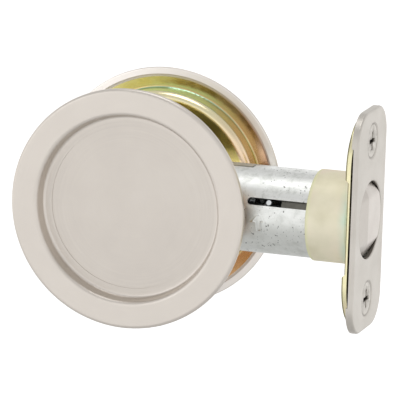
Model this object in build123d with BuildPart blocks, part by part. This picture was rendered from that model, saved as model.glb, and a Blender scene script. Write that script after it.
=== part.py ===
from build123d import *
from math import atan, cos, hypot, radians, sin, tan
import os

# Round flush-pull lock for a pocket door, with a push-to-release edge pull.
# Millimetres. The origin is where the cups' axis crosses the latch's axis, at the middle of the door.
# +X runs along the latch to the door's edge, Y is the cups' axis, +Z is up.

# Door
door_thickness = 30.0
backset = 59.6

# Cups
cup_diameter = 62.2
cup_sheet = 0.7
flange_rise = 1.5
lip_width = 1.7
rim_fillet = 0.9
seat_fillet = 0.35
flange_width = 6.95
mouth_fillet = 1.2
cup_depth = 3.7
cup_draft = 8.5
floor_fillet = 0.8
floor_ring_inset = 2.3
floor_ring_step = 0.15

# Backing plates
plate_sheet = 0.8
plate_rim_gap = 0.7
boss_clearance = 0.2
boss_fillet = 1.9
boss_foot_fillet = 0.5

# Posts and through screws
post_spacing = 30.0
post_diameter = 6.4
post_bore_depth = 12.0
stake_neck_diameter = 4.4
stake_head_diameter = 6.2
stake_head_height = 0.7
thread_diameter = 4.0
through_screw_reach = 10.0
pan_head_diameter = 7.6
pan_head_height = 2.0
head_clearance = 0.35
thread_clearance = 0.05
hole_clearance = 0.2
fit_clearance = 0.03

# Latch tube
tube_diameter = 22.3
tube_wall = 1.0
tongue_length = 11.86
tongue_clearance = 0.5
tab_slot_width = 4.0
tab_slot_reach = 14.9

# Collar
collar_length = 11.3
collar_wall = 0.55
collar_edge_fillet = 0.45
collar_taper_length = 0.85
collar_taper_drop = 0.3

# Faceplate
faceplate_width = 25.4
faceplate_height = 57.15
faceplate_corner = 7.9
faceplate_thickness = 1.85
faceplate_edge_fillet = 0.6
relief_depth = 0.5
relief_height = 41.0
pull_hole_clearance = 0.25
pull_hole_fillet = 0.25

# Backplate
backplate_inset = 1.6
backplate_end_flat = 1.0
backplate_sheet = 0.65
pad_rise = 0.65
pad_gap = 0.2

# Faceplate screws
face_screw_spacing = 41.0
flat_head_diameter = 9.0
flat_head_height = 1.65
flat_head_gap = 0.05
flat_head_sink = 0.2

# Cross recess of both kinds of screw
recess_width = 4.8
recess_slot = 1.1
recess_depth = 1.3
recess_taper = 12.0

# Edge pull
head_length = 5.5
neck_length = 8.0
neck_diameter = 9.0
neck_fillet = 1.0
barrel_length = 7.3
barrel_clearance = 0.4
crown_flat = 11.6
shoulder_angle = 23.0
shoulder_blend = 3.0
crown_overrun = 1.0
crown_edge_fillet = 0.3
front_slope = 4.5
slope_start = 1.3
press_travel = 4.5
stop_clearance = 0.5

# Stem, guide pin and spring
stem_diameter = 6.0
stem_seat_depth = 5.0
spring_flange_diameter = 9.8
spring_flange_length = 1.2
cross_pin_diameter = 2.0
cross_pin_inset = 2.6
guide_pin_diameter = 1.3
guide_pin_setback = 3.0
guide_pin_angle = 22.0
guide_pin_recess = 0.15
guide_slot_clearance = 0.3
spring_wire = 0.8
spring_turns = 6.0
spring_stem_clearance = 0.6
spring_seat_depth = 1.0

# Push catch
wire_diameter = 0.9
wire_wall_gap = 0.85
wire_bend = 0.95
wire_root = 3.2
cam_width = 8.8
cam_thickness = 2.7
cam_root = 3.4
cam_clearance = 0.4
track_width = 6.8
track_depth = 2.0
track_mouth = 3.2
island_length = 3.3
island_width = 3.4
notch_depth = 0.9
tip_clearance = 0.3
cam_rivet_diameter = 1.6
cam_rivet_spacing = 4.8
cam_rivet_reach = 4.5

# End plug
plug_length = 4.2
plug_clearance = 0.1
plug_pin_diameter = 1.6
plug_pin_depth = 3.0
plug_pin_angle = 35.0
tab_thickness = 0.9
tab_side_gap = 0.3

# Mounting fork
fork_sheet = 1.6
fork_reach = 4.5
fork_height = 41.0
fork_web = 4.0
fork_window_height = 19.0
fork_corner = 3.0
fork_root_height = 15.0
fork_root_depth = 2.6
fork_post_clearance = 0.1
fork_rivet_diameter = 1.8
fork_rivet_spacing = 7.0

# Places along the cups' axis, from the middle of the door
seat_y = door_thickness / 2
flange_y = seat_y + flange_rise
flange_back_y = flange_y - cup_sheet
floor_y = flange_y - cup_depth
floor_back_y = floor_y - floor_ring_step - cup_sheet
boss_inner_y = floor_back_y - head_clearance - pan_head_height
boss_y = boss_inner_y - plate_sheet

# Radii about the cups' axis
cup_radius = cup_diameter / 2
lip_inner_radius = cup_radius - lip_width
mouth_radius = cup_radius - flange_width
floor_radius = mouth_radius - cup_depth * tan(radians(cup_draft))
floor_ring_radius = floor_radius - floor_ring_inset
wall_outer_radius = mouth_radius + cup_sheet / cos(radians(cup_draft))
boss_inner_radius = wall_outer_radius + boss_clearance
boss_radius = boss_inner_radius + plate_sheet
plate_radius = lip_inner_radius - plate_rim_gap

# Places along the latch
tube_inner_end = boss_radius - tongue_length
faceplate_back_x = backset - faceplate_thickness
backplate_back_x = faceplate_back_x - backplate_sheet
pad_back_x = backplate_back_x - pad_rise
collar_start_x = backplate_back_x - collar_length
head_back_x = backset - head_length
barrel_front_x = head_back_x - neck_length
barrel_rear_x = barrel_front_x - barrel_length
out_travel = head_length + neck_length
plug_front_x = tube_inner_end + plug_length
guide_pin_x = barrel_rear_x - guide_pin_setback
flange_front_x = guide_pin_x - guide_pin_diameter - stop_clearance
flange_rear_x = flange_front_x - spring_flange_length
stem_rear_x = plug_front_x + press_travel + stop_clearance
stem_front_x = barrel_rear_x + stem_seat_depth
tongue_end_x = boss_radius + tongue_clearance

# Radii about the latch's axis
tube_radius = tube_diameter / 2
bore_radius = tube_radius - tube_wall
collar_radius = tube_radius + fit_clearance + collar_wall
barrel_radius = bore_radius - barrel_clearance
plug_radius = bore_radius - plug_clearance
stem_radius = stem_diameter / 2
tongue_half_width = boss_y - tongue_clearance

# Push catch: the wire's tip stands in the notch at the island's front
wire_radius = wire_diameter / 2
wire_z = -(bore_radius - wire_wall_gap - wire_radius)
cam_bottom_z = wire_z + wire_radius + cam_clearance
cam_top_z = cam_bottom_z + cam_thickness
track_floor_z = cam_bottom_z + track_depth
track_front_x = barrel_front_x - cam_root
tip_x = track_front_x - press_travel - tip_clearance - wire_radius
notch_half_angle = atan(island_width / 4 / notch_depth)
island_front_x = tip_x - (wire_radius + fit_clearance) / sin(notch_half_angle) + notch_depth
island_rear_x = island_front_x - island_length
cam_rear_x = island_rear_x - track_mouth


def disc_along_x(start, end, radius, mode=Mode.ADD):
    """Add or cut a round bar on the latch's axis."""
    with BuildSketch(Plane.YZ.offset(start)) as section:
        Circle(radius)
    extrude(section.sketch, amount=end - start, mode=mode)


def corner(sketch, x, y):
    """The sketch's corner nearest to a point."""
    return sketch.vertices().sort_by_distance(Vector(x, y, 0))[0]


# Flush cups: a flange, a drafted wall, a floor with a fine ring, and a lip rolled back to the door
def make_cup(side):
    with BuildPart() as cup:
        with BuildSketch(Plane.XY) as profile:
            ring_y = floor_y - floor_ring_step
            wall_back_radius = floor_radius + cup_sheet
            with BuildLine():
                Polyline(
                    (0, side * ring_y),
                    (floor_ring_radius, side * ring_y),
                    (floor_ring_radius, side * floor_y),
                    (floor_radius, side * floor_y),
                    (mouth_radius, side * flange_y),
                    (cup_radius, side * flange_y),
                    (cup_radius, side * seat_y),
                    (lip_inner_radius, side * seat_y),
                    (lip_inner_radius, side * flange_back_y),
                    (wall_outer_radius, side * flange_back_y),
                    (wall_back_radius, side * floor_back_y),
                    (0, side * floor_back_y),
                    close=True,
                )
            make_face()
            fillet(corner(profile, floor_radius, side * floor_y), floor_fillet)
            fillet(corner(profile, wall_back_radius, side * floor_back_y), floor_fillet + cup_sheet)
            fillet(corner(profile, mouth_radius, side * flange_y), mouth_fillet)
            fillet(corner(profile, cup_radius, side * flange_y), rim_fillet)
            fillet(corner(profile, cup_radius, side * seat_y), seat_fillet)
        revolve(axis=Axis.Y)
    return cup


front_cup = make_cup(-1)
rear_cup = make_cup(1)


# Backing plates: a rim flat against the flange, and a pressed boss that clears the cup and the screw heads
def make_backing_plate(side, hole_diameter):
    with BuildPart() as plate:
        with BuildSketch(Plane.XY) as profile:
            with BuildLine():
                Polyline(
                    (0, side * boss_y),
                    (boss_radius, side * boss_y),
                    (boss_radius, side * (flange_back_y - plate_sheet)),
                    (plate_radius, side * (flange_back_y - plate_sheet)),
                    (plate_radius, side * flange_back_y),
                    (boss_inner_radius, side * flange_back_y),
                    (boss_inner_radius, side * boss_inner_y),
                    (0, side * boss_inner_y),
                    close=True,
                )
            make_face()
            fillet(corner(profile, boss_radius, side * boss_y), boss_fillet)
            fillet(corner(profile, boss_inner_radius, side * boss_inner_y), boss_fillet - plate_sheet)
            fillet(corner(profile, boss_radius, side * (flange_back_y - plate_sheet)), boss_foot_fillet)
            fillet(corner(profile, boss_inner_radius, side * flange_back_y), boss_foot_fillet + plate_sheet)
        revolve(axis=Axis.Y)
        with BuildSketch(Plane.XZ) as holes:
            with Locations((0, post_spacing / 2), (0, -post_spacing / 2)):
                Circle(hole_diameter / 2)
        extrude(amount=flange_y, both=True, mode=Mode.SUBTRACT)
    return plate


front_backing_plate = make_backing_plate(-1, stake_neck_diameter + 2 * fit_clearance)
rear_backing_plate = make_backing_plate(1, thread_diameter + 2 * hole_clearance)


# Threaded posts: staked in the front backing plate, and standing on the rear one
def make_post(height):
    with BuildPart() as post:
        with BuildSketch(Plane.XZ.offset(-boss_y)) as body:
            with Locations((0, height)):
                Circle(post_diameter / 2)
        extrude(amount=2 * boss_y)
        with BuildSketch(Plane.XZ.offset(boss_y)) as neck:
            with Locations((0, height)):
                Circle(stake_neck_diameter / 2)
        extrude(amount=plate_sheet)
        with BuildSketch(Plane.XZ.offset(boss_inner_y)) as head:
            with Locations((0, height)):
                Circle(stake_head_diameter / 2)
        extrude(amount=stake_head_height)
        fillet(post.faces().sort_by(Axis.Y)[0].edges(), stake_head_height / 2)
        with BuildSketch(Plane.XZ.offset(-boss_y)) as bore:
            with Locations((0, height)):
                Circle(thread_diameter / 2)
        extrude(amount=post_bore_depth, mode=Mode.SUBTRACT)
    return post


threaded_post_upper = make_post(post_spacing / 2)
threaded_post_lower = make_post(-post_spacing / 2)


def cross_recess(centre, inward):
    """The tapered cross of a screw's recess, sunk from the head's face."""
    face_plane = Plane(origin=centre, x_dir=(0, 0, 1), z_dir=inward)
    with BuildPart(mode=Mode.PRIVATE) as recess:
        with BuildSketch(face_plane):
            Rectangle(recess_width, recess_slot)
            Rectangle(recess_slot, recess_width)
        extrude(amount=recess_depth, taper=recess_taper)
    return recess.part


# Through screws: pan heads in the gap under the rear cup, threaded into the posts
def make_through_screw(height):
    head_plane = Plane.XZ.offset(-boss_inner_y - pan_head_height)
    with BuildPart() as screw:
        with BuildSketch(head_plane) as head:
            with Locations((0, height)):
                Circle(pan_head_diameter / 2)
        extrude(amount=pan_head_height)
        fillet(screw.faces().sort_by(Axis.Y)[-1].edges(), pan_head_height / 2)
        with BuildSketch(Plane.XZ.offset(-boss_inner_y)) as shank:
            with Locations((0, height)):
                Circle(thread_diameter / 2 - thread_clearance)
        extrude(amount=plate_sheet + through_screw_reach)
        head_centre = (0, boss_inner_y + pan_head_height, height)
        add(cross_recess(head_centre, inward=(0, -1, 0)), mode=Mode.SUBTRACT)
    return screw


through_screw_upper = make_through_screw(post_spacing / 2)
through_screw_lower = make_through_screw(-post_spacing / 2)

# Latch tube: round from the faceplate to the cups, with its sides cut away where it passes between the bosses
guide_direction = Vector(0, -cos(radians(guide_pin_angle)), cos(radians(90 - guide_pin_angle)))
guide_plane = Plane(origin=(0, 0, 0), x_dir=(1, 0, 0), z_dir=guide_direction)
guide_slot_start = guide_pin_x - press_travel - guide_pin_diameter / 2 - stop_clearance
guide_slot_end = guide_pin_x + out_travel + guide_pin_diameter / 2 + stop_clearance
guide_slot_width = guide_pin_diameter + 2 * guide_slot_clearance
plug_pin_x = plug_front_x - plug_pin_diameter
plug_pin_planes = []
for angle in (90 - plug_pin_angle, 90 + plug_pin_angle, 270 - plug_pin_angle, 270 + plug_pin_angle):
    pin_direction = Vector(0, cos(radians(angle)), cos(radians(90 - angle)))
    pin_root = Vector(plug_pin_x, 0, 0) + pin_direction * (bore_radius - plug_pin_depth)
    plug_pin_planes.append(Plane(origin=pin_root, x_dir=(1, 0, 0), z_dir=pin_direction))
with BuildPart() as latch_tube:
    disc_along_x(tube_inner_end, faceplate_back_x, tube_radius)
    disc_along_x(tube_inner_end, faceplate_back_x, bore_radius, Mode.SUBTRACT)
    with BuildSketch(Plane.XY) as side_cuts:
        with Locations(
            (0, tongue_half_width + tube_radius),
            (0, -tongue_half_width - tube_radius),
        ):
            Rectangle(2 * tongue_end_x, 2 * tube_radius)
    extrude(amount=tube_diameter, both=True, mode=Mode.SUBTRACT)
    with BuildSketch(Plane.XY) as tab_slot:
        Rectangle(2 * (tube_inner_end + tab_slot_reach), tab_slot_width)
    extrude(amount=tube_diameter, mode=Mode.SUBTRACT)
    with BuildSketch(guide_plane) as guide_slot:
        with Locations(((guide_slot_start + guide_slot_end) / 2, 0)):
            SlotOverall(guide_slot_end - guide_slot_start, guide_slot_width)
    extrude(amount=tube_diameter, mode=Mode.SUBTRACT)
    with BuildSketch(*plug_pin_planes) as pin_holes:
        Circle(plug_pin_diameter / 2 + fit_clearance)
    extrude(amount=tube_radius, mode=Mode.SUBTRACT)

# Collar: a drawn sleeve round the tube's outer end, tapered where it meets the backplate
with BuildPart() as collar:
    disc_along_x(collar_start_x, backplate_back_x, collar_radius)
    fillet(collar.faces().sort_by(Axis.X)[0].edges(), collar_edge_fillet)
    end_face = collar.faces().sort_by(Axis.X)[-1]
    chamfer(end_face.edges(), collar_taper_drop, collar_taper_length, reference=end_face)
    disc_along_x(collar_start_x, backplate_back_x, tube_radius + fit_clearance, Mode.SUBTRACT)

# Faceplate: rounded corners, softened front edge, a shallow relief behind, and countersunk holes
flat_head_radius = flat_head_diameter / 2
shank_radius = thread_diameter / 2 - thread_clearance
sink_slope = (flat_head_radius - shank_radius) / flat_head_height
sink_radius = flat_head_radius + flat_head_gap + flat_head_sink * sink_slope
with BuildPart() as faceplate:
    with BuildSketch(Plane.YZ.offset(faceplate_back_x)) as outline:
        RectangleRounded(faceplate_width, faceplate_height, faceplate_corner)
    extrude(amount=faceplate_thickness)
    fillet(faceplate.faces().sort_by(Axis.X)[-1].edges(), faceplate_edge_fillet)
    with BuildSketch(Plane.YZ.offset(faceplate_back_x)) as relief:
        Rectangle(faceplate_width, relief_height)
    extrude(amount=relief_depth, mode=Mode.SUBTRACT)
    disc_along_x(faceplate_back_x, backset, barrel_radius + pull_hole_clearance, Mode.SUBTRACT)
    fillet(
        faceplate.edges().filter_by(GeomType.CIRCLE).group_by(Axis.X)[-1].sort_by(SortBy.RADIUS)[-1],
        pull_hole_fillet,
    )
    with BuildSketch(Plane.YZ.offset(faceplate_back_x)) as screw_holes:
        with Locations((0, face_screw_spacing / 2), (0, -face_screw_spacing / 2)):
            Circle(thread_diameter / 2 + hole_clearance)
    extrude(amount=faceplate_thickness, mode=Mode.SUBTRACT)
    for height in (face_screw_spacing / 2, -face_screw_spacing / 2):
        with BuildSketch(Plane.XZ) as countersink:
            with BuildLine():
                Polyline(
                    (backset, height),
                    (backset, height + sink_radius),
                    (backset - sink_radius / sink_slope, height),
                    close=True,
                )
            make_face()
        revolve(axis=Axis((0, 0, height), (1, 0, 0)), mode=Mode.SUBTRACT)

# Backplate: round ends, thin round the tube, thicker at the tapped screw pads
with BuildPart() as backplate:
    with BuildSketch(Plane.YZ.offset(pad_back_x)) as outline:
        backplate_corner = (faceplate_width - backplate_end_flat) / 2
        RectangleRounded(faceplate_width, faceplate_height - 2 * backplate_inset, backplate_corner)
    extrude(amount=backplate_sheet + pad_rise)
    pad_start = collar_radius + pad_gap
    with BuildSketch(Plane.XZ) as middle_step:
        with BuildLine():
            Polyline(
                (backplate_back_x, -pad_start),
                (backplate_back_x, pad_start),
                (pad_back_x, pad_start + pad_rise),
                (pad_back_x, -pad_start - pad_rise),
                close=True,
            )
        make_face()
    extrude(amount=faceplate_width, both=True, mode=Mode.SUBTRACT)
    disc_along_x(backplate_back_x, faceplate_back_x, tube_radius + fit_clearance, Mode.SUBTRACT)
    with BuildSketch(Plane.YZ.offset(pad_back_x)) as tapped_holes:
        with Locations((0, face_screw_spacing / 2), (0, -face_screw_spacing / 2)):
            Circle(thread_diameter / 2)
    extrude(amount=backplate_sheet + pad_rise, mode=Mode.SUBTRACT)


# Faceplate screws: short flat heads that end flush behind the backplate
def make_faceplate_screw(height):
    head_x = backset - flat_head_sink
    with BuildPart() as screw:
        with BuildSketch(Plane.XZ) as profile:
            with BuildLine():
                Polyline(
                    (pad_back_x, height),
                    (pad_back_x, height + shank_radius),
                    (head_x - flat_head_height, height + shank_radius),
                    (head_x, height + flat_head_radius),
                    (head_x, height),
                    close=True,
                )
            make_face()
        revolve(axis=Axis((0, 0, height), (1, 0, 0)))
        add(cross_recess((head_x, 0, height), inward=(-1, 0, 0)), mode=Mode.SUBTRACT)
    return screw


faceplate_screw_upper = make_faceplate_screw(face_screw_spacing / 2)
faceplate_screw_lower = make_faceplate_screw(-face_screw_spacing / 2)

# Crown of the pull's head: a flat middle, sloping shoulders, and one half that falls away sideways
crown_half = barrel_radius + crown_overrun
shoulder_x = backset - (crown_half - crown_flat / 2) * tan(radians(shoulder_angle))
slope_direction = Vector(-sin(radians(front_slope)), -cos(radians(front_slope)), 0)
with BuildPart() as head_crown:
    with BuildSketch(Plane.XZ.offset(slope_start)) as section:
        with BuildLine():
            Polyline(
                (backset, -crown_flat / 2),
                (backset, crown_flat / 2),
                (shoulder_x, crown_half),
                (barrel_front_x, crown_half),
                (barrel_front_x, -crown_half),
                (shoulder_x, -crown_half),
                close=True,
            )
        make_face()
        fillet(corner(section, backset, crown_flat / 2), shoulder_blend)
        fillet(corner(section, backset, -crown_flat / 2), shoulder_blend)
    extrude(section.sketch, amount=-crown_half - slope_start)
    extrude(section.sketch, amount=crown_half, dir=slope_direction)

# Edge pull: crowned head, finger neck and guide barrel, cast in one
with BuildPart() as edge_pull:
    disc_along_x(head_back_x, backset, barrel_radius)
    add(head_crown.part, mode=Mode.INTERSECT)
    fillet(
        edge_pull.edges()
        .filter_by_position(Axis.X, head_back_x + fit_clearance, backset)
        .filter_by(lambda edge: hypot((edge @ 0.5).Y, (edge @ 0.5).Z) > barrel_radius - fit_clearance),
        crown_edge_fillet,
    )
    disc_along_x(barrel_front_x, head_back_x, neck_diameter / 2)
    disc_along_x(barrel_rear_x, barrel_front_x, barrel_radius)
    fillet(
        edge_pull.edges()
        .filter_by(GeomType.CIRCLE)
        .filter_by(lambda edge: abs(edge.radius - neck_diameter / 2) < fit_clearance),
        neck_fillet,
    )
    disc_along_x(barrel_rear_x, stem_front_x + fit_clearance, stem_radius + fit_clearance, Mode.SUBTRACT)
    with BuildSketch(Plane.XZ) as pin_hole:
        with Locations((barrel_rear_x + cross_pin_inset, 0)):
            Circle(cross_pin_diameter / 2 + fit_clearance)
    extrude(amount=barrel_radius, both=True, mode=Mode.SUBTRACT)
    with BuildSketch(Plane.XZ) as cam_seat:
        with Locations(((barrel_rear_x + barrel_front_x) / 2, cam_top_z - tube_radius)):
            Rectangle(barrel_length, 2 * tube_radius)
    extrude(amount=cam_width / 2 + fit_clearance, both=True, mode=Mode.SUBTRACT)
    rivet_x = barrel_front_x - cam_rivet_diameter
    with BuildSketch(Plane.XY.offset(cam_bottom_z)) as rivet_holes:
        with Locations((rivet_x, cam_rivet_spacing / 2), (rivet_x, -cam_rivet_spacing / 2)):
            Circle(cam_rivet_diameter / 2 + fit_clearance)
    extrude(amount=cam_rivet_reach, mode=Mode.SUBTRACT)

# Stem: a rod behind the barrel with a flange for the spring
with BuildPart() as pull_stem:
    disc_along_x(stem_rear_x, stem_front_x, stem_radius)
    disc_along_x(flange_rear_x, flange_front_x, spring_flange_diameter / 2)
    with BuildSketch(Plane.XZ) as pin_hole:
        with Locations((barrel_rear_x + cross_pin_inset, 0)):
            Circle(cross_pin_diameter / 2 + fit_clearance)
    extrude(amount=stem_diameter, both=True, mode=Mode.SUBTRACT)
    with BuildSketch(guide_plane) as guide_hole:
        with Locations((guide_pin_x, 0)):
            Circle(guide_pin_diameter / 2 + fit_clearance)
    extrude(amount=stem_diameter, both=True, mode=Mode.SUBTRACT)

with BuildPart() as stem_cross_pin:
    with BuildSketch(Plane.XZ) as section:
        with Locations((barrel_rear_x + cross_pin_inset, 0)):
            Circle(cross_pin_diameter / 2)
    extrude(amount=barrel_radius - fit_clearance - cross_pin_diameter / 4, both=True)

# Guide pin: from the far side of the stem out into the tube's slot
with BuildPart() as guide_pin:
    with BuildSketch(guide_plane.offset(-stem_radius)) as section:
        with Locations((guide_pin_x, 0)):
            Circle(guide_pin_diameter / 2)
    extrude(amount=stem_radius + tube_radius - guide_pin_recess)

# Pull spring: from its seat in the end plug to the stem's flange
spring_seat_x = plug_front_x - spring_seat_depth
spring_radius = stem_radius + spring_stem_clearance + spring_wire / 2
spring_start_x = spring_seat_x + spring_wire / 2
spring_length = flange_rear_x - spring_seat_x - spring_wire
with BuildPart() as pull_spring:
    with BuildLine() as coil:
        Helix(
            pitch=spring_length / spring_turns,
            height=spring_length,
            radius=spring_radius,
            center=(spring_start_x, 0, 0),
            direction=(1, 0, 0),
        )
    with BuildSketch(Plane(origin=coil.line @ 0, z_dir=coil.line % 0)) as section:
        RegularPolygon(spring_wire / 2, 8)
    sweep(is_frenet=True)

# Heart cam: the track is open at the rear, and its island has a notch at the front that holds the tip
with BuildPart() as heart_cam:
    with BuildSketch(Plane.XY.offset(cam_bottom_z)) as bar:
        with Locations(((cam_rear_x + barrel_front_x) / 2, 0)):
            Rectangle(barrel_front_x - cam_rear_x, cam_width)
    extrude(amount=cam_thickness)
    with BuildSketch(Plane.XY.offset(cam_bottom_z)) as track:
        with BuildLine():
            Polyline(
                (cam_rear_x, -track_width / 2),
                (track_front_x - track_width / 4, -track_width / 2),
                (track_front_x, -track_width / 4),
                (track_front_x - track_width / 8, 0),
                (track_front_x, track_width / 4),
                (track_front_x - track_width / 4, track_width / 2),
                (cam_rear_x, track_width / 2),
                close=True,
            )
        make_face()
        with BuildLine():
            Polyline(
                (island_rear_x, 0),
                (island_front_x - notch_depth, island_width / 2),
                (island_front_x, island_width / 4),
                (island_front_x - notch_depth, 0),
                (island_front_x, -island_width / 4),
                (island_front_x - notch_depth, -island_width / 2),
                close=True,
            )
        make_face(mode=Mode.SUBTRACT)
    extrude(amount=track_depth, mode=Mode.SUBTRACT)
    with BuildSketch(Plane.XY.offset(cam_bottom_z)) as rivet_holes:
        with Locations((rivet_x, cam_rivet_spacing / 2), (rivet_x, -cam_rivet_spacing / 2)):
            Circle(cam_rivet_diameter / 2 + fit_clearance)
    extrude(amount=cam_thickness, mode=Mode.SUBTRACT)

with BuildPart() as cam_rivets:
    with BuildSketch(Plane.XY.offset(cam_bottom_z)) as section:
        with Locations((rivet_x, cam_rivet_spacing / 2), (rivet_x, -cam_rivet_spacing / 2)):
            Circle(cam_rivet_diameter / 2)
    extrude(amount=cam_rivet_reach - fit_clearance)

# Catch wire: held in the end plug, bent up at its tip into the cam's track
with BuildPart() as catch_wire:
    with BuildLine() as path:
        FilletPolyline(
            (plug_front_x - wire_root, 0, wire_z),
            (tip_x, 0, wire_z),
            (tip_x, 0, track_floor_z - tip_clearance),
            radius=wire_bend,
        )
    with BuildSketch(Plane(origin=path.line @ 0, z_dir=path.line % 0)) as section:
        Circle(wire_radius)
    sweep()

# End plug: flattened like the tube, with seats for spring, wire and fork, and a tab in the tube's slot
with BuildPart() as end_plug:
    disc_along_x(tube_inner_end, plug_front_x, plug_radius)
    with BuildSketch(Plane.XY) as flats:
        with Locations((tube_inner_end + plug_length / 2, 0)):
            Rectangle(plug_length, 2 * (tongue_half_width - fit_clearance))
    extrude(amount=plug_radius, both=True, mode=Mode.INTERSECT)
    tab_length = tab_slot_reach - tab_side_gap
    tab_bottom_z = bore_radius + (tube_wall - tab_thickness) / 2
    tab_root_z = plug_radius - tube_wall
    with BuildSketch(Plane.XZ) as tab:
        with BuildLine():
            Polyline(
                (tube_inner_end, tab_root_z),
                (plug_front_x, tab_root_z),
                (plug_front_x, tab_bottom_z),
                (tube_inner_end + tab_length, tab_bottom_z),
                (tube_inner_end + tab_length, tab_bottom_z + tab_thickness),
                (tube_inner_end, tab_bottom_z + tab_thickness),
                close=True,
            )
        make_face()
    extrude(amount=tab_slot_width / 2 - tab_side_gap, both=True)
    spring_seat_radius = spring_radius + spring_wire
    disc_along_x(spring_seat_x, plug_front_x, spring_seat_radius, Mode.SUBTRACT)
    with BuildSketch(Plane.YZ.offset(plug_front_x - wire_root)) as wire_hole:
        with Locations((0, wire_z)):
            Circle(wire_radius + fit_clearance)
    extrude(amount=wire_root, mode=Mode.SUBTRACT)
    with BuildSketch(Plane.XZ) as fork_slot:
        with Locations((tube_inner_end + fork_root_depth / 2, 0)):
            Rectangle(fork_root_depth, fork_root_height + 2 * fit_clearance)
    extrude(amount=fork_sheet / 2 + fit_clearance, both=True, mode=Mode.SUBTRACT)
    fork_rivet_x = tube_inner_end + fork_root_depth / 2
    with BuildSketch(Plane.XZ) as rivet_holes:
        with Locations((fork_rivet_x, fork_rivet_spacing / 2), (fork_rivet_x, -fork_rivet_spacing / 2)):
            Circle(fork_rivet_diameter / 2 + fit_clearance)
    extrude(amount=tube_radius, both=True, mode=Mode.SUBTRACT)
    with BuildSketch(*plug_pin_planes) as pin_holes:
        Circle(plug_pin_diameter / 2 + fit_clearance)
    extrude(amount=tube_radius, mode=Mode.SUBTRACT)

# Plug pins: four short pins that lock the end plug in the tube
with BuildPart() as plug_pins:
    with BuildSketch(*plug_pin_planes) as section:
        Circle(plug_pin_diameter / 2)
    extrude(amount=plug_pin_depth + tube_wall - fit_clearance)

# Mounting fork: two arms that straddle the posts
with BuildPart() as mounting_fork:
    with BuildSketch(Plane.XZ) as outline:
        with Locations(((tube_inner_end - fork_reach) / 2, 0)):
            RectangleRounded(tube_inner_end + fork_reach, fork_height, fork_corner)
        with Locations((tube_inner_end + (fork_root_depth - fork_web) / 2, 0)):
            Rectangle(fork_root_depth + fork_web, fork_root_height)
        with Locations((-fork_web / 2, 0)):
            Rectangle(2 * tube_inner_end - fork_web, fork_window_height, mode=Mode.SUBTRACT)
        slot_radius = post_diameter / 2 + fork_post_clearance
        for side in (1, -1):
            with Locations((0, side * post_spacing / 2)):
                Circle(slot_radius, mode=Mode.SUBTRACT)
            with Locations((-fork_reach / 2, side * post_spacing / 2)):
                Rectangle(fork_reach, 2 * slot_radius, mode=Mode.SUBTRACT)
        with Locations((fork_rivet_x, fork_rivet_spacing / 2), (fork_rivet_x, -fork_rivet_spacing / 2)):
            Circle(fork_rivet_diameter / 2 + fit_clearance, mode=Mode.SUBTRACT)
    extrude(amount=fork_sheet / 2, both=True)

with BuildPart() as fork_rivets:
    with BuildSketch(Plane.XZ) as section:
        with Locations((fork_rivet_x, fork_rivet_spacing / 2), (fork_rivet_x, -fork_rivet_spacing / 2)):
            Circle(fork_rivet_diameter / 2)
    extrude(amount=tongue_half_width - fit_clearance, both=True)

pieces = {
    "front_cup": front_cup,
    "rear_cup": rear_cup,
    "front_backing_plate": front_backing_plate,
    "rear_backing_plate": rear_backing_plate,
    "threaded_post_upper": threaded_post_upper,
    "threaded_post_lower": threaded_post_lower,
    "through_screw_upper": through_screw_upper,
    "through_screw_lower": through_screw_lower,
    "latch_tube": latch_tube,
    "collar": collar,
    "faceplate": faceplate,
    "backplate": backplate,
    "faceplate_screw_upper": faceplate_screw_upper,
    "faceplate_screw_lower": faceplate_screw_lower,
    "edge_pull": edge_pull,
    "pull_stem": pull_stem,
    "stem_cross_pin": stem_cross_pin,
    "guide_pin": guide_pin,
    "pull_spring": pull_spring,
    "heart_cam": heart_cam,
    "cam_rivets": cam_rivets,
    "catch_wire": catch_wire,
    "end_plug": end_plug,
    "plug_pins": plug_pins,
    "mounting_fork": mounting_fork,
    "fork_rivets": fork_rivets,
}

os.makedirs("parts", exist_ok=True)
for name, piece in pieces.items():
    piece.part.label = name
    export_step(piece.part, f"parts/{name}.step")
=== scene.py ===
import math

import bpy
from mathutils import Matrix, Vector


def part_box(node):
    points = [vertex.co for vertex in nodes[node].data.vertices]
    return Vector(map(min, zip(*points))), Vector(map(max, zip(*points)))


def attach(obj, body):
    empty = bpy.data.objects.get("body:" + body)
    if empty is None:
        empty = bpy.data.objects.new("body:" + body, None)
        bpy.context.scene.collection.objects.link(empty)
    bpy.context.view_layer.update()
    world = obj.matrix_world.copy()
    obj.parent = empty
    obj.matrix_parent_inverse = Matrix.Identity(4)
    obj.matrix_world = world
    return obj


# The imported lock: metres, +X along the latch to the door's edge, Y the cups' axis, +Z up
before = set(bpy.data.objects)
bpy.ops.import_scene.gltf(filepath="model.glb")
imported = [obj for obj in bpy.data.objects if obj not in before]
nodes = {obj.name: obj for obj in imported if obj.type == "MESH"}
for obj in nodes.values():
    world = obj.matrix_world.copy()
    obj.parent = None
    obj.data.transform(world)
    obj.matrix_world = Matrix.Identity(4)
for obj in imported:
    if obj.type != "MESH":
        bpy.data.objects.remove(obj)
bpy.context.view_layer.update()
MM = 0.001

# Sizes that the frame doesn't hold
FLOOR_INSET = 7.5 * MM
LIP_WIDTH = 1.72 * MM
LIP_DEPTH = 1.5 * MM
PLATE_SHEET = 0.8 * MM
BOSS_INSET = 2.85 * MM
BARREL_LENGTH = 7.3 * MM

# How deep the finest, middle and coarsest surface relief is, and how far the lip's shading leans out
GRAIN_FINE = 0.03 * MM
GRAIN_MIDDLE = 0.04 * MM
GRAIN_COARSE = 0.05 * MM
LIP_LEAN = 0.9

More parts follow.
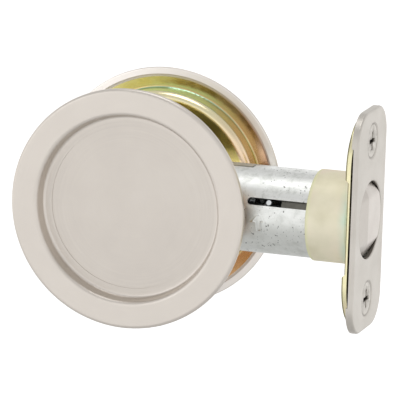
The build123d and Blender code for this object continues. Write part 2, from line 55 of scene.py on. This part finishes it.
# Places that the finishes and the arrow are set out from, read from the frame
cup_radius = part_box("front_cup")[1][2]
floor_radius = cup_radius - FLOOR_INSET
lip_radius = cup_radius - LIP_WIDTH
seat_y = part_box("rear_cup")[1][1] - LIP_DEPTH
boss_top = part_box("rear_backing_plate")[0][1]
plate_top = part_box("rear_backing_plate")[1][1]
foot = plate_top - PLATE_SHEET
plate_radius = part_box("rear_backing_plate")[1][2]
boss_radius = plate_radius - BOSS_INSET
tube_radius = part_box("latch_tube")[1][2]
collar_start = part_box("collar")[0][0]
collar_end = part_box("collar")[1][0]
face_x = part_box("faceplate")[1][0]
backplate_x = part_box("backplate")[0][0]
screw_z = (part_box("faceplate_screw_upper")[0][2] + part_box("faceplate_screw_upper")[1][2]) / 2
screw_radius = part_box("faceplate_screw_upper")[1][1]
barrel_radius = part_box("edge_pull")[1][1]
barrel_front_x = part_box("edge_pull")[0][0] + BARREL_LENGTH


def srgb(red, green, blue):
    """The linear colour of an 8-bit screen colour."""
    levels = (red / 255, green / 255, blue / 255)
    return tuple(c / 12.92 if c <= 0.04045 else ((c + 0.055) / 1.055) ** 2.4 for c in levels)


def colour_ramp(tree, value, stops):
    """A ramp from position and colour pairs, read at the value."""
    node = tree.nodes.new("ShaderNodeValToRGB")
    tree.links.new(value, node.inputs["Fac"])
    elements = node.color_ramp.elements
    while len(elements) < len(stops):
        elements.new(0.5)
    for element, (position, colour) in zip(elements, stops):
        element.position = position
        element.color = (*colour, 1.0)
    return node.outputs["Color"]


class Finish:
    """A material's node tree, with a short call for each node that the finishes share."""

    def __init__(self, name, metallic=1.0):
        self.material = bpy.data.materials.new(name)
        self.material.use_nodes = True
        self.tree = self.material.node_tree
        self.shader = self.tree.nodes["Principled BSDF"]
        self.shader.inputs["Metallic"].default_value = metallic
        coordinates = self.tree.nodes.new("ShaderNodeTexCoord").outputs
        self.place, self.normal = coordinates["Object"], coordinates["Normal"]

    def link(self, source, target):
        if isinstance(source, (int, float)):
            target.default_value = source
        elif isinstance(source, tuple):
            short = len(source) < len(target.default_value)
            target.default_value = (*source, 1.0) if short else source
        else:
            self.tree.links.new(source, target)

    def math(self, operation, *inputs):
        node = self.tree.nodes.new("ShaderNodeMath")
        node.operation = operation
        for socket, value in zip(node.inputs, inputs):
            self.link(value, socket)
        return node.outputs[0]

    def plus(self, *values):
        total = values[0]
        for value in values[1:]:
            total = self.math("ADD", total, value)
        return total

    def times(self, *values):
        product = values[0]
        for value in values[1:]:
            product = self.math("MULTIPLY", product, value)
        return product

    def swing(self, value, size):
        """A 0 to 1 value turned into one that swings about zero by the size."""
        return self.times(self.math("SUBTRACT", value, 0.5), 2 * size)

    def parts(self, vector):
        node = self.tree.nodes.new("ShaderNodeSeparateXYZ")
        self.link(vector, node.inputs[0])
        return node.outputs

    def axes(self):
        return self.parts(self.place)

    def vector(self, x, y, z):
        node = self.tree.nodes.new("ShaderNodeCombineXYZ")
        for socket, value in zip(node.inputs, (x, y, z)):
            self.link(value, socket)
        return node.outputs[0]

    def radius(self, first, second):
        return self.math("SQRT", self.plus(self.times(first, first), self.times(second, second)))

    def noise(self, scale, detail=3.0, roughness=0.6, place=None, distortion=0.0):
        node = self.tree.nodes.new("ShaderNodeTexNoise")
        self.link(place or self.place, node.inputs["Vector"])
        node.inputs["Scale"].default_value = scale
        node.inputs["Detail"].default_value = detail
        node.inputs["Roughness"].default_value = roughness
        node.inputs["Distortion"].default_value = distortion
        return node.outputs["Fac"]

    def between(self, value, low, high, out_low=0.0, out_high=1.0):
        node = self.tree.nodes.new("ShaderNodeMapRange")
        node.interpolation_type = "SMOOTHSTEP"
        self.link(value, node.inputs["Value"])
        ends = (("From Min", low), ("From Max", high), ("To Min", out_low), ("To Max", out_high))
        for key, number in ends:
            node.inputs[key].default_value = number
        return node.outputs["Result"]

    def ramp(self, value, *stops):
        return colour_ramp(self.tree, value, stops)

    def blend(self, amount, first, second):
        node = self.tree.nodes.new("ShaderNodeMix")
        node.data_type = "RGBA"
        self.link(amount, node.inputs["Factor"])
        self.link(first, node.inputs[6])
        self.link(second, node.inputs[7])
        return node.outputs[2]

    def done(self, colour, roughness, relief, strength, depth):
        """Sets the colour and roughness, and a bump of the given strength and depth in metres."""
        bump = self.tree.nodes.new("ShaderNodeBump")
        bump.inputs["Strength"].default_value = strength
        bump.inputs["Distance"].default_value = depth
        self.link(relief, bump.inputs["Height"])
        self.link(colour, self.shader.inputs["Base Color"])
        self.link(roughness, self.shader.inputs["Roughness"])
        self.link(bump.outputs["Normal"], self.shader.inputs["Normal"])
        return self.material


# Finishes


def spun_nickel():
    """The cups' satin nickel: faint spun rings on the floor, painted shade darkening the floor, an even
    flange and a painted highlight lightening the lip.
    """
    m = Finish("cup_nickel")
    x, y, z = m.axes()
    radius = m.radius(x, z)
    turn = m.math("ARCTAN2", z, x)
    rings = m.noise(1.0, 2.0, 0.6, m.vector(m.times(radius, 2300.0), m.times(turn, 0.9), 3.0))
    fine = m.noise(1.0, 2.0, 0.6, m.vector(m.times(radius, 9000.0), m.times(turn, 4.0), 7.0))
    on_floor = m.between(radius, floor_radius - 1.6 * MM, floor_radius - 0.6 * MM, 1.0, 0.0)
    outer = m.between(radius, 14 * MM, floor_radius - 3 * MM, 0.12, 0.5)
    by_door = m.between(m.math("ABSOLUTE", y), seat_y, seat_y + 0.3 * MM, 1.0, 0.0)
    lip = m.times(by_door, m.between(radius, lip_radius, lip_radius + 0.1 * MM))
    lean = m.times(lip, m.math("SUBTRACT", lip_radius, radius), LIP_LEAN / GRAIN_FINE)
    cloud = m.noise(60.0)
    tone = m.plus(0.5, m.swing(cloud, 0.3), m.times(m.swing(rings, 0.5), on_floor, outer))
    flange = m.ramp(
        tone, (0.25, srgb(211, 204, 196)), (0.5, srgb(215, 208, 200)), (0.75, srgb(219, 212, 204))
    )
    # The floor's darker ramp is painted shade, standing in for the shade the cup's wall casts on its
    # floor.
    floor = m.ramp(
        tone, (0.2, srgb(201, 194, 187)), (0.5, srgb(208, 201, 193)), (0.8, srgb(214, 208, 200))
    )
    grit = m.times(m.noise(3200.0), 0.25)
    relief = m.plus(m.times(rings, on_floor, outer), m.times(fine, 0.2), grit, lean)
    # The lip's light colour (238, 232, 226) is a painted highlight, lighter than the nickel itself.
    colour = m.blend(lip, m.blend(on_floor, flange, floor), srgb(238, 232, 226))
    rough = m.plus(m.between(fine, 0.2, 0.8, 0.36, 0.46), m.times(lip, -0.05))
    return m.done(colour, rough, relief, 0.25, GRAIN_FINE)


def screw_nickel():
    """The faceplate screws: a darker rim, darker blotches round the recess, painted shade in patches on
    the -Y side and painted shade in the cross recess.
    """
    m = Finish("screw_nickel")
    x, y, z = m.axes()
    radius = m.radius(y, m.math("SUBTRACT", m.math("ABSOLUTE", z), screw_z))
    grit = m.noise(900.0, 4.0, 0.7)
    face = m.ramp(
        grit, (0.3, srgb(178, 173, 165)), (0.5, srgb(202, 197, 189)), (0.7, srgb(214, 209, 202))
    )
    patches = m.between(m.noise(500.0), 0.4, 0.6, 0.3, 0.8)
    # Painted shade: the -Y side of each head is darkened in patches.
    shaded_side = m.times(m.between(y, -3.4 * MM, 0.6 * MM, 1.0, 0.0), patches)
    # A darker ring round the rim of each head.
    rim = m.between(radius, screw_radius - 0.55 * MM, screw_radius - 0.1 * MM)
    deep = m.between(x, face_x - 0.7 * MM, face_x - 0.25 * MM, 1.0, 0.0)
    # Darker blotches round the cross recess.
    dark_blotches = m.times(m.between(radius, 2.2 * MM, 3.6 * MM, 0.7, 0.0), m.between(m.noise(700.0), 0.4, 0.6))
    colour = m.blend(shaded_side, face, srgb(176, 170, 162))
    colour = m.blend(m.plus(m.times(rim, 0.75), dark_blotches), colour, srgb(132, 126, 118))
    # Painted shade: the cross recess is darkened towards its bottom.
    colour = m.blend(m.times(deep, 0.95), colour, srgb(70, 66, 60))
    return m.done(colour, m.between(grit, 0.3, 0.7, 0.44, 0.32), grit, 0.4, GRAIN_MIDDLE)


def plate_nickel():
    """The faceplate's satin nickel, with painted shade darkening the wall of its round opening."""
    m = Finish("plate_nickel")
    x, y, z = m.axes()
    grit = m.noise(2600.0, 3.0, 0.7)
    tone = m.plus(m.noise(130.0, 4.0), m.swing(grit, 0.12))
    face = m.ramp(tone, (0.3, srgb(198, 193, 185)), (0.7, srgb(209, 204, 197)))
    opening = m.between(m.radius(y, z), barrel_radius + 0.26 * MM, barrel_radius + 0.36 * MM, 1.0, 0.0)
    inside = m.times(opening, m.between(x, face_x - 0.45 * MM, face_x - 0.2 * MM, 1.0, 0.0))
    # Painted shade: the opening's wall is darkened to (88, 84, 78).
    colour = m.blend(m.times(inside, 0.85), face, srgb(88, 84, 78))
    return m.done(colour, m.between(grit, 0.3, 0.7, 0.38, 0.48), grit, 0.3, GRAIN_FINE)


def pull_nickel():
    """The edge pull's satin nickel: bright on the head, with painted shade on the head's sloped -Y
    half, duller and darker behind it.
    """
    m = Finish("pull_nickel")
    x, y, _ = m.axes()
    grit = m.noise(1900.0, 3.0, 0.7)
    tone = m.plus(m.noise(150.0, 4.0), m.swing(grit, 0.12))
    head = m.ramp(tone, (0.3, srgb(202, 195, 188)), (0.7, srgb(211, 205, 198)))
    # Painted shade: the head's sloped -Y half is darkened.
    head = m.blend(m.between(y, -1.7 * MM, -1.1 * MM, 0.55, 0.0), head, srgb(182, 176, 168))
    shaft = m.ramp(tone, (0.3, srgb(92, 91, 85)), (0.7, srgb(122, 120, 113)))
    behind = m.between(x, barrel_front_x - 0.4 * MM, barrel_front_x + 0.4 * MM, 1.0, 0.0)
    rough = m.plus(m.between(grit, 0.3, 0.7, 0.3, 0.4), m.times(behind, 0.12))
    return m.done(m.blend(behind, head, shaft), rough, grit, 0.3, GRAIN_FINE)


def yellow_chromate():
    """Yellow chromate: the film's tint turns round the cups' axis and changes over each bend; the pale
    cream on the boss's top bend is partly film tint and partly a painted highlight.
    """
    m = Finish("yellow_chromate")
    x, y, z = m.axes()
    height = m.math("ABSOLUTE", y)
    radius = m.radius(x, z)
    turn = m.math("DIVIDE", m.math("ARCTAN2", z, x), 2 * math.pi)
    wander = m.swing(m.noise(45.0, 3.0), 0.07)
    place = m.math("FRACT", m.plus(turn, 1.0, wander))
    rose, copper, lime = srgb(240, 195, 180), srgb(210, 170, 130), srgb(230, 230, 160)
    straw, mint, cream = srgb(220, 195, 130), srgb(185, 220, 195), srgb(250, 240, 200)
    flange = m.ramp(
        place, (0.0, rose), (0.1, copper), (0.25, lime), (0.5, straw), (0.9, copper), (1.0, rose)
    )
    wall = m.ramp(place, (0.0, straw), (0.2, mint), (0.4, mint), (0.7, straw))
    # The cream on the bend is partly the film's tint and partly a painted highlight where the bend
    # catches the light.
    bend = m.ramp(place, (0.0, rose), (0.15, cream), (0.6, cream), (0.8, rose))
    patch = m.noise(110.0)
    top = m.ramp(
        patch, (0.3, srgb(206, 194, 118)), (0.6, srgb(226, 206, 132)), (0.8, srgb(220, 176, 132))
    )
    over_bend = m.between(height, boss_top + 1.0 * MM, boss_top + 2.2 * MM, 1.0, 0.0)
    on_top = m.between(radius, boss_radius - 2.2 * MM, boss_radius - 1.5 * MM, 1.0, 0.0)
    on_flange = m.between(height, foot - 0.12 * MM, foot - 0.02 * MM)
    near_boss = m.between(radius, boss_radius + 0.55 * MM, boss_radius + 1.0 * MM, 1.0, 0.0)
    fringe = m.times(on_flange, near_boss)
    tint = m.blend(over_bend, wall, bend)
    tint = m.blend(on_top, tint, top)
    tint = m.blend(on_flange, tint, flange)
    tint = m.blend(m.times(fringe, 0.5), tint, srgb(216, 178, 132))
    streak = m.noise(300.0)
    streaks = m.ramp(
        streak, (0.3, srgb(164, 180, 112)), (0.5, srgb(220, 200, 124)), (0.7, srgb(216, 158, 146))
    )
    rough = m.between(m.noise(420.0), 0.3, 0.7, 0.17, 0.27)
    return m.done(m.blend(0.1, tint, streaks), rough, m.noise(1000.0), 0.12, GRAIN_MIDDLE)


def edge_chromate():
    """The same film on the backplate: creamy, with olive patches, and painted shade in olive along its
    back edge.
    """
    m = Finish("edge_chromate")
    patch = m.noise(110.0, 4.0)
    x, _, z = m.axes()
    film = m.ramp(
        patch, (0.3, srgb(206, 202, 152)), (0.5, srgb(240, 234, 192)), (0.72, srgb(240, 226, 192))
    )
    step = m.between(m.math("ABSOLUTE", z), 11.6 * MM, 12.4 * MM, 0.55 * MM, 0.0)
    along = m.math("SUBTRACT", x, step)
    shaded_back_edge = m.between(along, backplate_x + 0.22 * MM, backplate_x + 0.4 * MM, 0.9, 0.0)
    on_side = m.between(m.math("ABSOLUTE", m.parts(m.normal)[0]), 0.3, 0.6, 1.0, 0.0)
    # Painted shade: the sides' back edge is darkened to olive.
    colour = m.blend(m.times(shaded_back_edge, on_side), film, srgb(118, 112, 78))
    rough = m.between(m.noise(420.0), 0.3, 0.7, 0.26, 0.38)
    return m.done(colour, rough, m.noise(1000.0), 0.15, GRAIN_MIDDLE)


def bright_zinc(name, light, dark):
    """Zinc plate on drawn steel: mottled, with painted shade darkening it towards the bottom, faint
    draw lines and small dark pits.
    """
    m = Finish(name)
    x, y, z = m.axes()
    mottle = m.noise(420.0, 5.0, 0.65, distortion=0.4)
    drawn = m.vector(m.times(x, 90.0), m.times(y, 1500.0), m.times(z, 1500.0))
    lines = m.noise(1.0, 3.0, 0.6, drawn)
    pitted = m.between(m.noise(260.0, 2.0), 0.46, 0.56)
    pit = m.times(m.between(m.noise(1500.0, 2.0), 0.63, 0.69), pitted)
    tone = m.plus(m.times(mottle, 0.8), m.times(lines, 0.2), m.swing(m.noise(130.0), 0.12))
    metal = m.ramp(tone, (0.3, dark), (0.5, light), (0.75, srgb(248, 249, 247)))
    # Painted shade: the metal is darkened below about z = 0.
    metal = m.blend(m.between(z, -3 * MM, 4 * MM, 0.6, 0.0), metal, dark)
    colour = m.blend(m.times(pit, 0.85), metal, srgb(70, 72, 68))
    relief = m.math("SUBTRACT", m.plus(m.times(mottle, 0.6), m.times(lines, 0.4)), pit)
    return m.done(colour, m.between(mottle, 0.3, 0.7, 0.42, 0.3), relief, 0.35, GRAIN_COARSE)


def collar_chromate():
    """Pale cream chromate with a greenish rim, a mint tint by the plate and a faint pink one above."""
    m = Finish("collar_chromate", metallic=0.55)
    x, _, z = m.axes()
    cloud = m.noise(120.0, 3.0, 0.5)
    cream = m.ramp(
        cloud, (0.3, srgb(224, 218, 192)), (0.5, srgb(234, 228, 204)), (0.7, srgb(240, 232, 210))
    )
    by_plate = m.between(x, collar_end - 3.4 * MM, collar_end - 0.4 * MM)
    mint = m.times(by_plate, m.between(m.noise(90.0, 2.0), 0.38, 0.6))
    pink = m.times(m.between(z, 2 * MM, 7 * MM), m.between(m.noise(75.0, 2.0), 0.4, 0.6))
    rim = m.between(x, collar_start + 0.3 * MM, collar_start + 1.3 * MM, 1.0, 0.0)
    colour = m.blend(m.times(pink, 0.5), cream, srgb(236, 218, 204))
    colour = m.blend(m.times(mint, 0.75), colour, srgb(204, 230, 214))
    colour = m.blend(m.times(rim, 0.6), colour, srgb(226, 228, 184))
    return m.done(colour, m.between(cloud, 0.3, 0.7, 0.6, 0.5), m.noise(1400.0), 0.12, GRAIN_MIDDLE)


def worked_metal(name, light, dark, roughness, scale):
    """A plain cast or drawn metal with clouds and fine marks."""
    m = Finish(name)
    cloud = m.noise(scale, 5.0)
    colour = m.ramp(cloud, (0.3, dark), (0.7, light))
    rough = m.between(cloud, 0.3, 0.7, roughness + 0.06, roughness - 0.06)
    return m.done(colour, rough, m.noise(scale * 4.0), 0.25, GRAIN_MIDDLE)


finishes = {
    spun_nickel(): ("front_cup", "rear_cup"),
    plate_nickel(): ("faceplate",),
    pull_nickel(): ("edge_pull",),
    screw_nickel(): ("faceplate_screw_upper", "faceplate_screw_lower"),
    yellow_chromate(): ("front_backing_plate", "rear_backing_plate"),
    edge_chromate(): ("backplate",),
    bright_zinc("tube_zinc", srgb(234, 235, 232), srgb(200, 202, 197)): ("latch_tube",),
    bright_zinc("steel_zinc", srgb(216, 220, 222), srgb(184, 190, 192)): (
        "threaded_post_upper",
        "threaded_post_lower",
        "through_screw_upper",
        "through_screw_lower",
        "pull_stem",
        "guide_pin",
        "cam_rivets",
        "mounting_fork",
        "fork_rivets",
    ),
    collar_chromate(): ("collar",),
    worked_metal("cast_zinc", srgb(224, 226, 222), srgb(188, 192, 186), 0.4, 420.0): ("end_plug",),
    worked_metal("spring_steel", srgb(122, 122, 124), srgb(84, 84, 86), 0.34, 500.0): (
        "stem_cross_pin",
        "pull_spring",
        "heart_cam",
        "catch_wire",
        "plug_pins",
    ),
}
for material, names in finishes.items():
    for name in names:
        for spot in nodes[name].material_slots:
            spot.material = material

# Arrow: a raised outline on the tube's front that tells which way up the latch goes
ARROW_X = 33.4 * MM
ARROW_Z = -1.1 * MM
ARROW_LENGTH = 4.4 * MM
ARROW_HEAD = 3.4 * MM
ARROW_SHAFT = 1.3 * MM
HEAD_DEPTH = ARROW_HEAD * 0.6
MITRE_LIMIT = 0.4
RIDGE_WIDTH = 0.5 * MM
RIDGE_RISE = 0.2 * MM


def arrow_outline():
    """The arrow's corners, sideways and upward from its middle."""
    head, shaft, half = ARROW_HEAD / 2, ARROW_SHAFT / 2, ARROW_LENGTH / 2
    neck = half - HEAD_DEPTH
    right = [(shaft, -half), (shaft, neck), (head, neck)]
    return [(-shaft, -half), *right, (0, half), (-head, neck), (-shaft, neck)]


def ridge_offsets(corners, distance):
    """The corners moved sideways along their mitres."""
    moved = []
    for i, corner in enumerate(corners):
        here, before = Vector(corner), Vector(corners[i - 1])
        after = Vector(corners[(i + 1) % len(corners)])
        into, out = (here - before).normalized(), (after - here).normalized()
        mitre = (Vector((-into.y, into.x)) + Vector((-out.y, out.x))).normalized()
        reach = distance / max(mitre.dot(Vector((-into.y, into.x))), MITRE_LIMIT)
        moved.append(here + mitre * reach)
    return moved


def make_arrow(name):
    """A closed ridge along the arrow's outline, wrapped round the tube."""
    corners = arrow_outline()
    section = [(-1, -0.4), (-0.75, 0.55), (-0.3, 1), (0.3, 1), (0.75, 0.55), (1, -0.4)]
    rails = [
        (ridge_offsets(corners, side * RIDGE_WIDTH / 2), rise * RIDGE_RISE) for side, rise in section
    ]
    vertices = []
    for i in range(len(corners)):
        for rail, rise in rails:
            angle = (rail[i].y + ARROW_Z) / tube_radius
            reach = tube_radius + rise
            vertices.append((ARROW_X + rail[i].x, -reach * math.cos(angle), reach * math.sin(angle)))
    count = len(section)
    faces = []
    for i in range(len(corners)):
        here, there = i * count, (i + 1) % len(corners) * count
        for k in range(count):
            after = (k + 1) % count
            faces.append((here + k, there + k, there + after, here + after))
    mesh = bpy.data.meshes.new(name)
    mesh.from_pydata(vertices, [], faces)
    mesh.validate()
    mesh.shade_smooth()
    piece = bpy.data.objects.new(name, mesh)
    bpy.context.scene.collection.objects.link(piece)
    mesh.materials.append(nodes["latch_tube"].material_slots[0].material)
    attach(piece, "lock_body")


make_arrow("up_arrow")

# Camera: the photograph's view, a long lens a little above and to the right
AZIMUTH, ELEVATION, ROLL = math.radians(17.594), math.radians(12.611), math.radians(1.933)
DISTANCE = 1.5
TARGET = Vector((14.294, 0.0, 0.609)) * MM
SENSOR_WIDTH = 36.0
FOCAL_LENGTH = 528.2

back = Vector(
    (
        math.sin(AZIMUTH) * math.cos(ELEVATION),
        -math.cos(AZIMUTH) * math.cos(ELEVATION),
        math.sin(ELEVATION),
    )
)
tilt = Matrix.Rotation(ROLL, 4, "Z").to_quaternion()
camera = bpy.data.objects.new("camera", bpy.data.cameras.new("camera"))
bpy.context.scene.collection.objects.link(camera)
camera.data.sensor_width = SENSOR_WIDTH
camera.data.lens = FOCAL_LENGTH
camera.data.clip_start, camera.data.clip_end = 0.05, 20.0
camera.location = TARGET + back * DISTANCE
camera.rotation_mode = "QUATERNION"
camera.rotation_quaternion = (-back).to_track_quat("-Z", "Y") @ tilt
bpy.context.scene.camera = camera

# Studio: a white horizon with a dimmer band above it, two soft lamps and a white floor well below
HORIZON = 1.0
UPPER_BAND = 0.64
BAND_START, BAND_FULL = 0.4, 0.66
FLOOR_REACH = 6.0
FLOOR_HEIGHT = -0.2
FLOOR_GREY = 0.78
FLOOR_GLOW = 0.5
GLOW_START, GLOW_FULL = 0.1, 0.75
LAMP_SIZE = 0.8


def light_world():
    """The band lights the metal, and the camera sees plain white behind the lock."""
    world = bpy.data.worlds.new("studio")
    bpy.context.scene.world = world
    world.use_nodes = True
    tree = world.node_tree
    direction = tree.nodes.new("ShaderNodeSeparateXYZ")
    tree.links.new(tree.nodes.new("ShaderNodeTexCoord").outputs["Generated"], direction.inputs[0])
    levels = ((0.0, HORIZON), (BAND_START, HORIZON), (BAND_FULL, UPPER_BAND), (1.0, UPPER_BAND))
    stops = [(position, (level, level, level)) for position, level in levels]
    band = colour_ramp(tree, direction.outputs["Z"], stops)
    path = tree.nodes.new("ShaderNodeLightPath").outputs
    plain = tree.nodes.new("ShaderNodeMix")
    plain.data_type = "RGBA"
    tree.links.new(path["Is Camera Ray"], plain.inputs["Factor"])
    tree.links.new(band, plain.inputs[6])
    plain.inputs[7].default_value = (1.0, 1.0, 1.0, 1.0)
    tree.links.new(plain.outputs[2], tree.nodes["Background"].inputs["Color"])


def lay_floor():
    """White to the camera everywhere, and to metal and glass where it is well away from the lock;
    nearer the lock the glow fades, a painted shadow seen only in reflections.
    """
    mesh = bpy.data.meshes.new("floor")
    corners = ((-1, -1), (1, -1), (1, 1), (-1, 1))
    spots = [(x * FLOOR_REACH, y * FLOOR_REACH, FLOOR_HEIGHT) for x, y in corners]
    mesh.from_pydata(spots, [], [(0, 1, 2, 3)])
    floor = bpy.data.objects.new("floor", mesh)
    bpy.context.scene.collection.objects.link(floor)
    paint = Finish("floor_white", metallic=0.0)
    paint.link((FLOOR_GREY, FLOOR_GREY, FLOOR_GREY), paint.shader.inputs["Base Color"])
    paint.link(0.8, paint.shader.inputs["Roughness"])
    path = paint.tree.nodes.new("ShaderNodeLightPath").outputs
    mirrored = paint.math("MAXIMUM", path["Is Transmission Ray"], path["Is Glossy Ray"])
    seen = paint.math("MAXIMUM", path["Is Camera Ray"], mirrored)
    x, y, _ = paint.axes()
    # Painted shadow: the glow that metal and glass see fades out under the lock.
    away = paint.between(paint.radius(x, y), GLOW_START, GLOW_FULL)
    glow = paint.math("MAXIMUM", path["Is Camera Ray"], paint.times(seen, away))
    paint.link((1.0, 1.0, 1.0), paint.shader.inputs["Emission Color"])
    paint.link(paint.times(glow, FLOOR_GLOW), paint.shader.inputs["Emission Strength"])
    mesh.materials.append(paint.material)


def lamp(name, place, power):
    """A round lamp turned to the origin, its power in watts."""
    light = bpy.data.lights.new(name, "AREA")
    light.shape = "DISK"
    light.size = LAMP_SIZE
    light.energy = power
    piece = bpy.data.objects.new(name, light)
    bpy.context.scene.collection.objects.link(piece)
    piece.location = place
    piece.rotation_mode = "QUATERNION"
    piece.rotation_quaternion = (-piece.location).to_track_quat("-Z", "Y")


light_world()
lay_floor()
lamp("overhead", (0.0, -0.05, 1.4), 3.2)
lamp("side", (-1.0, -1.2, 0.5), 1.3)

bpy.context.scene.view_settings.view_transform = "Standard"
